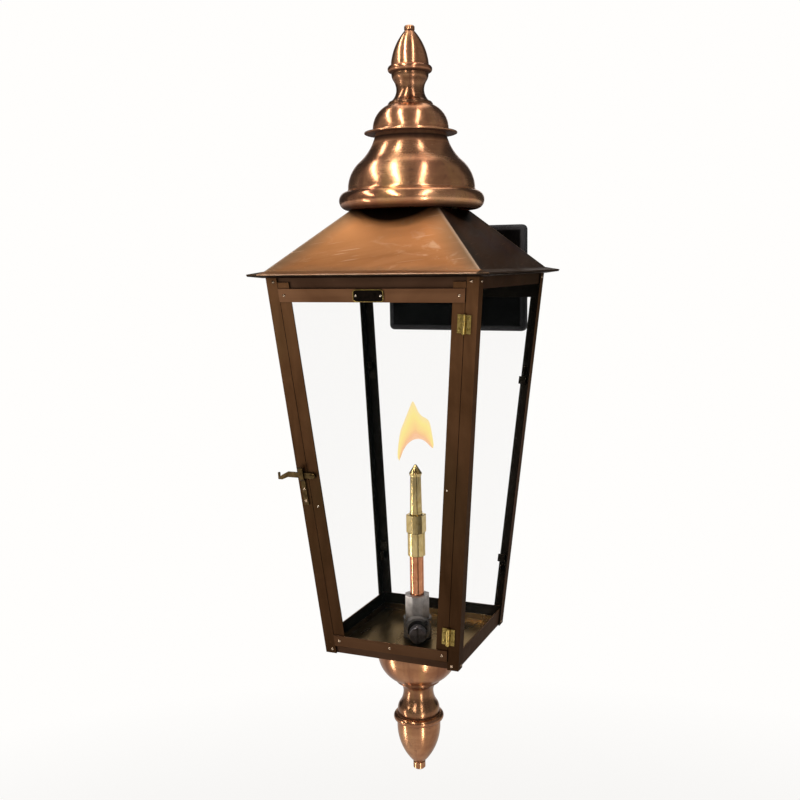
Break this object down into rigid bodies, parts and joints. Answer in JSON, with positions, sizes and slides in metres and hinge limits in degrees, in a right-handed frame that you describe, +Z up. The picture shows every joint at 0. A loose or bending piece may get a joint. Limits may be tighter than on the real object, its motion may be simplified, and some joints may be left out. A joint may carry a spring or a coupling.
{
  "type": "wall lantern",
  "caption": "Tapered four-sided gas wall lantern with a hinged glass door, hipped hood, spun vent bell, turned finials, open-flame burner and flat wall plate.",
  "frame": {"origin": "centre of the wall plate's back face", "axes": "+Z up, +Y into the wall, the door faces -Y"},
  "size_m": [0.2628, 0.2758, 0.8381],
  "materials": {
    "aged_copper": "antique brown copper, brushed and polished",
    "brass": "aged brass",
    "bright_copper": "bright drawn copper tube",
    "pale_rivet": "pale domed rivets",
    "dark_casting": "dark grey casting",
    "black_steel": "black satin paint",
    "clear_glass": "clear flat glass"
  },
  "bodies": {
    "cage": {"bottom_rail_front": "aged_copper", "bottom_rail_left": "aged_copper", "bottom_rail_rear": "aged_copper", "bottom_rail_right": "aged_copper", "burner_nut": "brass", "burner_sleeve": "brass", "burner_tip": "brass", "door_stop_left": "aged_copper", "door_stop_right": "aged_copper", "eave_collar": "aged_copper", "finial_acorn_low": "aged_copper", "finial_acorn_top": "aged_copper", "finial_neck_low": "aged_copper", "finial_neck_top": "aged_copper", "finial_rod_low": "brass", "finial_rod_top": "brass", "floor_pan": "aged_copper", "frame_rivets": "pale_rivet", "glass_clips": "aged_copper", "glass_left": "clear_glass", "glass_rear": "clear_glass", "glass_right": "clear_glass", "hinge_lower_pin": "brass", "hinge_lower_post_leaf": "brass", "hinge_upper_pin": "brass", "hinge_upper_post_leaf": "brass", "latch_keeper": "brass", "lower_bowl": "aged_copper", "post_front_left": "aged_copper", "post_front_right": "aged_copper", "post_rear_left": "aged_copper", "post_rear_right": "aged_copper", "riser_tube": "bright_copper", "roof_hood": "aged_copper", "top_rail_front": "aged_copper", "top_rail_left": "aged_copper", "top_rail_rear": "aged_copper", "top_rail_right": "aged_copper", "valve_body": "dark_casting", "vent_bell": "aged_copper", "vent_cap": "aged_copper", "vent_strap": "brass", "wall_arm": "black_steel", "wall_plate": "black_steel"},
    "door": {"door_badge": "brass", "door_clips": "aged_copper", "door_glass": "clear_glass", "door_rail_bottom": "aged_copper", "door_rail_top": "aged_copper", "door_rivets": "pale_rivet", "door_stile_left": "aged_copper", "door_stile_right": "aged_copper", "hinge_lower_door_leaf": "brass", "hinge_upper_door_leaf": "brass", "latch_pin": "brass"},
    "latch": {"latch_arm": "brass"},
    "valve": {"valve_knob": "dark_casting"}
  },
  "joints": [
    {"name": "door_hinge", "type": "hinge", "parent": "cage", "child": "door", "pos_m": [0.09977, -0.25916, -0.0395], "axis": [0.0929, -0.0929, 0.9913], "range_deg": [0, 110]},
    {"name": "latch_turn", "type": "hinge", "parent": "door", "child": "latch", "pos_m": [-0.07783, -0.24153, -0.20397], "axis": [0, 0.9956, 0.0933], "range_deg": [0, 75]},
    {"name": "valve_turn", "type": "hinge", "parent": "cage", "child": "valve", "pos_m": [0, -0.1444, -0.3922], "axis": [0.3827, -0.9239, 0], "range_deg": [0, 90]}
  ]
}
